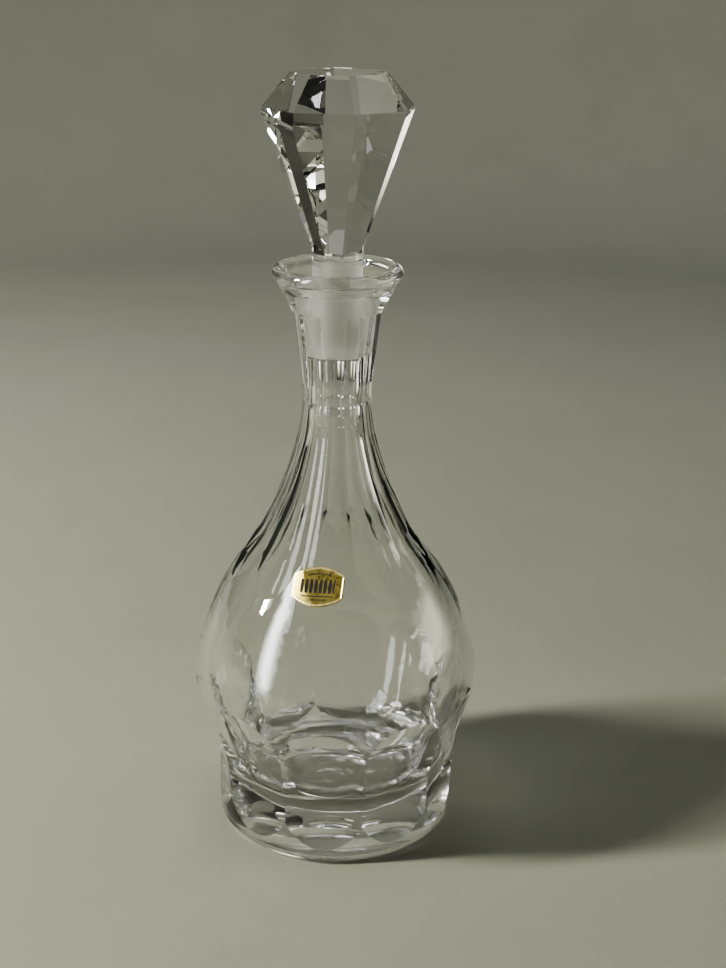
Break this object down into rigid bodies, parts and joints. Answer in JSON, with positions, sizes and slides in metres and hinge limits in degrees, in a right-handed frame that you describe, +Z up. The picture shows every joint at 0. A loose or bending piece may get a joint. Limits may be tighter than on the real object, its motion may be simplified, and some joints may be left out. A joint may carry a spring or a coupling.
{
  "type": "cut crystal decanter",
  "caption": "Clear cut-crystal decanter: fluted neck, bulb with a ring of large oval thumbprint cuts, heavy foot, small foil label, faceted lift-out stopper.",
  "frame": {"origin": "centre of the resting ring, on the plane the decanter stands on", "axes": "+Z up along the axis of the body and the stopper; the foil label and one column of cuts face -Y"},
  "size_m": [0.1172, 0.1172, 0.3075],
  "materials": {
    "crystal": "polished clear lead crystal",
    "stopper_crystal": "polished clear lead crystal with a ground grey plug",
    "foil": "embossed gold paper foil"
  },
  "bodies": {
    "decanter": {"decanter_body": "crystal", "foil_label": "foil"},
    "stopper": {"stopper": "stopper_crystal"}
  },
  "joints": [
    {"name": "stopper_lift", "type": "slide", "parent": "decanter", "child": "stopper", "axis": [0, 0, 1], "range_m": [0, 0.045]}
  ]
}
